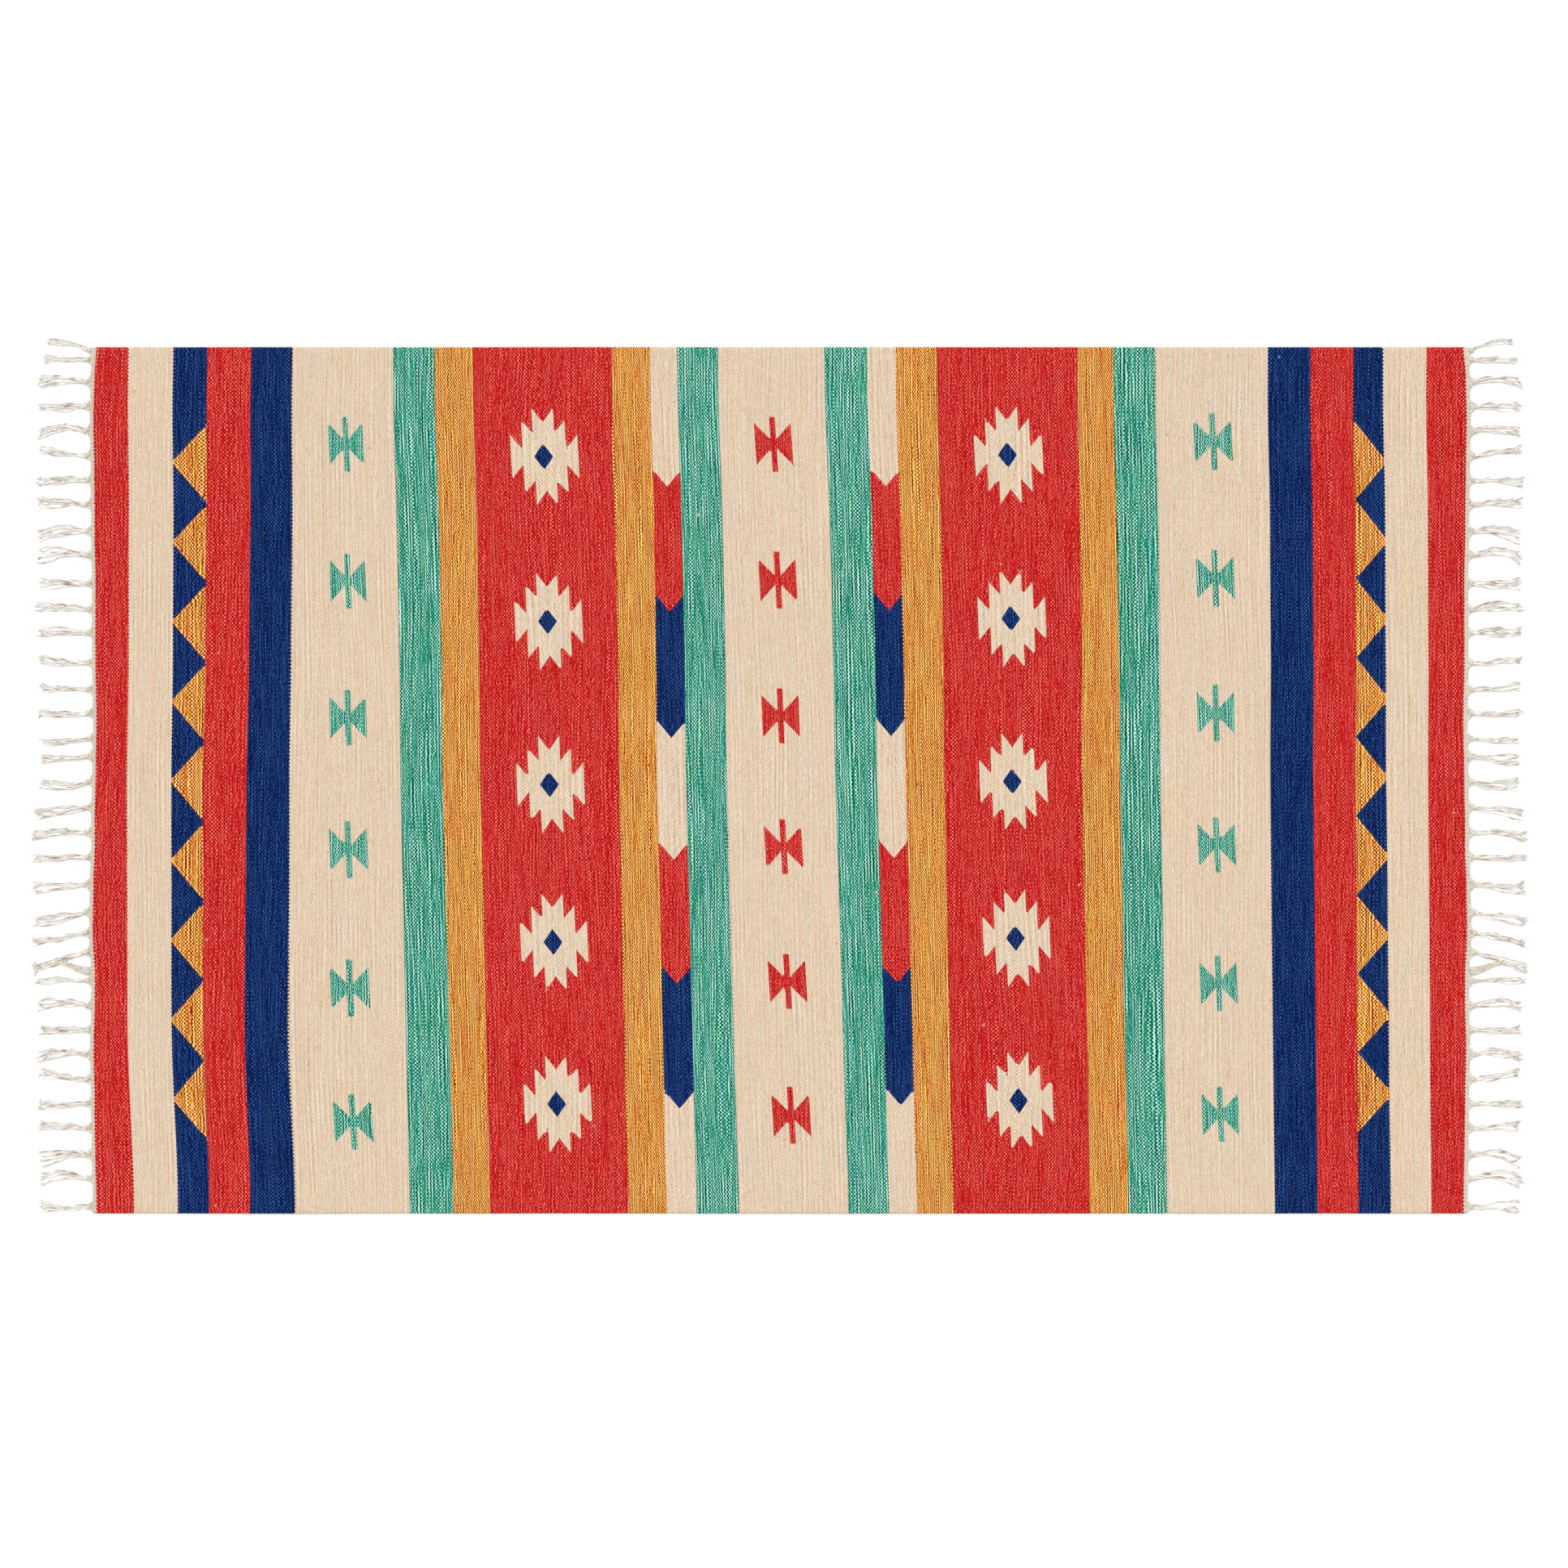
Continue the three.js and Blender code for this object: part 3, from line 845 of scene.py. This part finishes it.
# One yarn as a closed tube
def addTube(strands, path, radii, around):
    points, faces = strands["points"], strands["faces"]
    tangents, sides = tubeFrames(path)
    start = len(points)
    for place, tangent, side, radius in zip(path, tangents, sides, radii):
        other = tangent.cross(side)
        for corner in range(around):
            angle = math.tau * corner / around
            points.append((place + radius * (math.cos(angle) * side + math.sin(angle) * other)) * mm)
    lengths = [0]
    for before, after in zip(path, path[1:]):
        lengths.append(lengths[-1] + (after - before).length)
    index = strands["count"]
    strands["count"] += 1

    def addFace(corners):
        faces.append([start + ring * around + turn % around for ring, turn in corners])
        for ring, turn in corners:
            along = lengths[ring] + strandMaps["apart"] * (index % strandMaps["repeat"])
            strands["yarnMap"].append((along, turn / around))
            strands["bakeCells"].append((index, lengths[ring] / lengths[-1], turn / around))

    last = len(path) - 1
    for ring in range(last):
        for turn in range(around):
            addFace([(ring, turn), (ring + 1, turn), (ring + 1, turn + 1), (ring, turn + 1)])
    addFace([(0, turn) for turn in range(around)])
    addFace([(last, turn) for turn in reversed(range(around))])


def makeStrands(part, label, strands, warp):
    piece = makeObject("fringe_" + part + "_" + label, strands["points"], strands["faces"])
    cells = math.ceil(math.sqrt(strands["count"]))
    margin = strandMaps["margin"]
    bakeMap = []
    for index, *shares in strands["bakeCells"]:
        cell = (index % cells, index // cells)
        bakeMap.append([(low + margin + (1 - 2 * margin) * share) / cells
                        for low, share in zip(cell, shares)])
    addUvMap(piece, "yarn", strands["yarnMap"])
    addUvMap(piece, "OFBake", bakeMap)
    piece.data.materials.append(warpMaterials[warp])
    piece.data.polygons.foreach_set("use_smooth", [True] * len(strands["faces"]))
    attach(piece, "root")
    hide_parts("fringe_" + label)


# A place beside an end of the cloth: out from it, down from the upper selvedge, and up
def beside(side, out, down, up):
    x = side * (clothHalfLength + valueAt(endWaves, min(clothWidth, max(0, down))) + out)
    y = clothWidth / 2 - down
    lift = liftAt(x, y) * max(0, 1 - out / fringe["liftReach"])
    return Vector((x + clothMiddle.x, y + clothMiddle.y, up + lift))


# The strip beside the cloth: the warps turn and run along it, twined over each other, to the nearest tassel
strip = {
    "yarns": 3, "firstOut": 1.9, "spacing": 1.85, "thickness": 2.5, "around": 5,
    "twineUp": 0.35, "twineOut": 0.25, "lag": 0.8,
    "stray": 0.35, "strayStep": (0.35, 7, 3),        # for each warp, each yarn and each end
}


def makeStrip(side, label):
    strands = newStrands()
    radius = strip["thickness"] / 2
    alongStep, yarnStep, endStep = strip["strayStep"]
    for yarn in range(strip["yarns"]):
        path = []
        for warp in range(weave["warps"] + 1):
            stray = strip["stray"] * noise.noise(Vector((warp * alongStep, yarn * yarnStep, side * endStep)))
            twine = math.pi * (warp + yarn)
            out = strip["firstOut"] + yarn * strip["spacing"] + stray + strip["twineOut"] * math.cos(twine)
            up = radius + fringe["clear"] + strip["twineUp"] * (1 + math.cos(twine + strip["lag"]))
            path.append(beside(side, out, warp * warpSpacing, up))
        addTube(strands, path, [radius] * len(path), strip["around"])
    makeStrands("strip", label, strands, "tight")


# Warps that show as light dots between the last weft and the strip
stub = {"thickness": 1.9, "outs": (-0.9, 0.4, 1.9), "up": 1.75, "around": 4}


def makeStubs(side, label):
    strands = newStrands()
    for warp in range(1, weave["warps"], 2):
        path = [beside(side, out, warp * warpSpacing, stub["up"]) for out in stub["outs"]]
        addTube(strands, path, [stub["thickness"] / 2] * len(path), stub["around"])
    makeStrands("stubs", label, strands, "loose")


# Overhand knots, close to the strip: each is a short coil of strands that thins out at both its ends
knot = {
    "out": 13.5, "scatter": 3, "scatterStep": 3.7, "strands": 4, "spacing": 1.6, "strandThickness": 1.9,
    "halfWidth": 3.9, "halfHeight": 2.3, "turns": 1.12, "steps": 15, "around": 5,
    "lean": (2.5, 4.5), "plump": 0.07, "endThin": 0.45, "endShare": 0.12,
}

# The warps reach their knot from a little to each side, each on a curve from its root in the strip. Two
# places pull the curve: one where it leaves the strip, and one near the knot. Share is how far out they are
# on the way to the knot, Wide is how far aside, as a share of the root's own place, and Up is their height.
# A root lies anywhere within the middle part of its share of the reach.
gather = {
    "count": 12, "reach": 15, "within": (0.2, 0.8), "thickness": 1.7, "steps": 5, "around": 5,
    "rootOut": 4.2, "rootUp": 2.2,
    "leaveShare": 0.49, "leaveWide": 0.85, "leaveUp": 2.4,
    "nearShare": 0.66, "nearWide": 0.5, "nearUp": (2.2, 3.5),
    "short": 1, "knotWide": 0.2, "knotUp": (2.8, 4),        # they end so much short of the knot's middle
}

for index, tassel in enumerate(tassels):
    scatter = knot["scatter"] * noise.noise(Vector((index * knot["scatterStep"], 0.5, 0)))
    tassel.setdefault("knot", knot["out"] + scatter)
    tassel.setdefault("root", tassel["down"])
    tassel.setdefault("gathers", gather["count"])
    tassel.setdefault("gatherReach", gather["reach"])


def bezier(start, leave, near, end, share):
    rest = 1 - share
    return (start * rest ** 3 + leave * 3 * rest * rest * share
            + near * 3 * rest * share * share + end * share ** 3)


def makeGathers(side, label, rng):
    strands = newStrands()
    for tassel in tassels:
        out, middle = tassel["knot"], tassel["down"]
        for yarn in range(tassel["gathers"]):
            place = yarn + rng.uniform(*gather["within"])
            away = tassel["gatherReach"] * (2 * place / tassel["gathers"] - 1)
            root = min(clothWidth - 1, max(1, tassel["root"] + away))
            leaveDown = root - away * (1 - gather["leaveWide"])
            nearUp, knotUp = rng.uniform(*gather["nearUp"]), rng.uniform(*gather["knotUp"])
            start = beside(side, gather["rootOut"], root, gather["rootUp"])
            leave = beside(side, out * gather["leaveShare"], leaveDown, gather["leaveUp"])
            near = beside(side, out * gather["nearShare"], middle + away * gather["nearWide"], nearUp)
            end = beside(side, out - gather["short"], middle + away * gather["knotWide"], knotUp)
            steps = range(gather["steps"] + 1)
            path = [bezier(start, leave, near, end, step / gather["steps"]) for step in steps]
            addTube(strands, path, [gather["thickness"] / 2] * len(path), gather["around"])
    makeStrands("gathers", label, strands, "knotted")


def makeKnots(side, label, rng):
    strands = newStrands()
    radius = knot["strandThickness"] / 2
    middleUp = knot["halfHeight"] + radius + fringe["clear"]
    for tassel in tassels:
        lean = rng.uniform(*knot["lean"])
        start = rng.uniform(0, math.tau)
        for strand in range(knot["strands"]):
            rank = strand - (knot["strands"] - 1) / 2
            path = []
            for step in range(knot["steps"] + 1):
                share = step / knot["steps"]
                angle = start + knot["turns"] * math.tau * share
                atEnd = 1 - smooth(min(share, 1 - share) / knot["endShare"])
                reach = (1 - knot["plump"] * rank * rank) * (1 - knot["endThin"] * atEnd)
                out = tassel["knot"] + rank * knot["spacing"] + lean * (share - 0.5)
                down = tassel["down"] + knot["halfWidth"] * reach * math.cos(angle)
                path.append(beside(side, out, down, middleUp + knot["halfHeight"] * reach * math.sin(angle)))
            addTube(strands, path, [radius] * len(path), knot["around"])
    makeStrands("knots", label, strands, "knotted")


# Below its knot each tassel parts into locks of two to four yarns, and the yarns of a lock lie round each
# other and come apart near their tips
lock = {
    "yarns": (2, 4), "fewestInTassel": 9, "within": (0.25, 0.75),
    "thickness": 1.5, "around": 5, "steps": 13,
    "start": 1.5,                      # out from the middle of the knot
    "rootSpread": 2.4,                 # the locks fan out from this to the tassel's own spread
    "tipSpread": 0.85,
    "fanPower": 0.7,
    "shortest": 0.9,
    "shortestYarn": 0.92,
    "bow": 0.3,
    "bends": [(2.2, 1), (0.8, 2.6)],   # how far a lock bends aside, and how often along its length
    "yarnBends": [(0.5, 1.7), (0.3, 4)],
    "bendSizes": (0.4, 1),             # of those sizes and turns, between these shares
    "bendTurns": (0.7, 1.3),
    "bendFrom": 3,                     # the bends reach their full size after a third of the length
    "orbit": 0.75, "turns": 1.3,       # the yarns of a lock go round its middle
    "apart": 2.2, "apartFrom": 0.55, "flatten": 0.6,       # they come apart past this share of its length
    "heaped": 1.4, "settles": 0.7,     # how high one lock lies on another, and how much less at the tips
    "knotUp": 1.8, "knotReach": 0.18,  # the locks come down from the knot over this share of their length
    "taper": 0.3, "taperFrom": 0.8,
}

# The plies of a yarn come apart past its end
fray = {"plies": 2, "length": 8, "shortest": 0.4, "aside": 0.5, "overlap": 1.5, "lowest": 0.5, "sinks": 0.5,
        "around": 3, "radii": [0.42, 0.4, 0.33, 0.2]}


def splitYarns(count, rng):
    locks = []
    while count > 0:
        size = min(count, rng.randint(*lock["yarns"]))
        locks.append(size)
        count -= size
    return locks


def newBends(rng, bends):
    return [(rng.uniform(*lock["bendSizes"]) * size, rng.uniform(*lock["bendTurns"]) * turns,
             rng.uniform(0, math.tau)) for size, turns in bends]


def bentBy(bends, share):
    return sum(size * math.sin(turns * math.tau * share + start) for size, turns, start in bends)


def lockPath(side, tassel, shape):
    path = []
    lowest = lock["thickness"] / 2 + fringe["clear"]
    for step in range(lock["steps"] + 1):
        share = step / lock["steps"]
        loose = smooth((share - lock["apartFrom"]) / (1 - lock["apartFrom"]))
        turn = shape["turn"] + math.tau * lock["turns"] * share
        spread = lock["rootSpread"]
        spread += (tassel["spread"] * lock["tipSpread"] - lock["rootSpread"]) * share ** lock["fanPower"]
        down = tassel["down"] + share * tassel["tip"]
        down += 4 * share * (1 - share) * (tassel["bend"] - tassel["tip"] / 2)
        down += (shape["fan"] + shape["bow"] * math.sin(math.pi * share)) * spread
        down += min(1, lock["bendFrom"] * share) * bentBy(shape["bends"], share)
        down += lock["orbit"] * math.cos(turn) + shape["apart"] * loose
        up = lowest + shape["level"] * (1 - lock["settles"] * share)
        up += lock["orbit"] * (1 + math.sin(turn)) * (1 - lock["flatten"] * loose)
        up += lock["knotUp"] * (1 - smooth(share / lock["knotReach"]))
        out = tassel["knot"] + lock["start"] + share * shape["length"]
        path.append(beside(side, out, down, max(lowest, up)))
    return path


def lockRadius(step):
    share = (step / lock["steps"] - lock["taperFrom"]) / (1 - lock["taperFrom"])
    return lock["thickness"] / 2 * (1 - lock["taper"] * smooth(share))


def addFray(strands, path, rng):
    end = path[-1]
    heading = (path[-1] - path[-2]).normalized()
    sideways = Vector((-heading.y, heading.x, 0))
    steps = len(fray["radii"]) - 1
    for ply in range(fray["plies"]):
        turn = rng.uniform(-fray["aside"], fray["aside"])
        curl = rng.uniform(-fray["aside"], fray["aside"])
        length = rng.uniform(fray["shortest"], 1) * fray["length"]
        points = []
        for step in range(steps + 1):
            share = step / steps
            drift = sideways * length * (turn * share + curl * share * share)
            place = end + heading * (length * share - fray["overlap"]) + drift
            place.z = max(fray["lowest"], end.z * (1 - fray["sinks"] * share))
            points.append(place)
        addTube(strands, points, fray["radii"], fray["around"])


def countYarns():
    counts = [0] * len(tassels)
    for warp in range(weave["warps"]):
        down = (warp + 0.5) * warpSpacing
        counts[min(range(len(tassels)), key=lambda index: abs(tassels[index]["root"] - down))] += 1
    return counts


def makeLocks(side, label, rng):
    strands = newStrands()
    radii = [lockRadius(step) for step in range(lock["steps"] + 1)]
    for tassel, count in zip(tassels, countYarns()):
        longest = tassel["reach"] - tassel["knot"] - lock["start"]
        sizes = splitYarns(max(lock["fewestInTassel"], count), rng)
        for place, size in enumerate(sizes):
            fan = 2 * (place + rng.uniform(*lock["within"])) / len(sizes) - 1
            reach = longest * rng.uniform(lock["shortest"], 1)
            bow = rng.uniform(-lock["bow"], lock["bow"])
            bends = newBends(rng, lock["bends"])
            level = rng.uniform(0, lock["heaped"])
            start = rng.uniform(0, math.tau)
            for yarn in range(size):
                shape = {"fan": fan, "bow": bow, "level": level, "turn": start + math.tau * yarn / size}
                shape["length"] = reach * rng.uniform(lock["shortestYarn"], 1)
                shape["bends"] = bends + newBends(rng, lock["yarnBends"])
                shape["apart"] = lock["apart"] * rng.uniform(-1, 1)
                path = lockPath(side, tassel, shape)
                addTube(strands, path, radii, lock["around"])
                addFray(strands, path, rng)
    makeStrands("locks", label, strands, "loose")


for side, label in ((-1, "left"), (1, "right")):
    rng = random.Random(fringe["seed"] + side)
    makeStrip(side, label)
    makeStubs(side, label)
    makeGathers(side, label, rng)
    makeKnots(side, label, rng)
    makeLocks(side, label, rng)
    print("fringe:", label, "with", len(tassels), "tassels")


# Studio: a pale floor, painted matt so that it only takes the rug's soft shadow, a wide soft lamp so far
# off that it lights the rug evenly, and a white surround
studio = {
    "floor": "#faf9f7",
    "floorRoughness": 0.9,
    "floorSize": 60,
    "lampFrom": (-0.42, 0.5, 1.0),
    "lampSpread": 45,        # degrees across, as seen from the floor
    "lampStrength": 1.64,
    "surround": "#ffffff",
    "surroundStrength": 0.7,
}


def makeStudio():
    half = studio["floorSize"] / 2
    floor = makeObject("floor", [(-half, -half, 0), (half, -half, 0), (half, half, 0), (-half, half, 0)],
                       [(0, 1, 2, 3)])
    colour = linearColour(studio["floor"])
    finish = {"Base Color": colour, "Roughness": studio["floorRoughness"]}
    material, _, _ = makeMaterial("mattPaintedFloor", finish)
    floor.data.materials.append(material)
    floor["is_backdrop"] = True

    data = bpy.data.lights.new("softLamp", "SUN")
    data.angle = math.radians(studio["lampSpread"])
    data.energy = studio["lampStrength"]
    lamp = bpy.data.objects.new("softLamp", data)
    lamp.rotation_euler = (-Vector(studio["lampFrom"])).to_track_quat("-Z", "Y").to_euler()
    bpy.context.collection.objects.link(lamp)

    world = bpy.data.worlds.new("surround")
    world.use_nodes = True
    background = world.node_tree.nodes["Background"]
    background.inputs["Color"].default_value = linearColour(studio["surround"])
    background.inputs["Strength"].default_value = studio["surroundStrength"]
    bpy.context.scene.world = world
    bpy.context.scene.view_settings.view_transform = "Standard"


makeStudio()
print("studio: floor, lamp and surround")

triangleCount = 0
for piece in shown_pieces():
    piece.data.calc_loop_triangles()
    triangleCount += len(piece.data.loop_triangles)
print("triangles in all:", triangleCount)
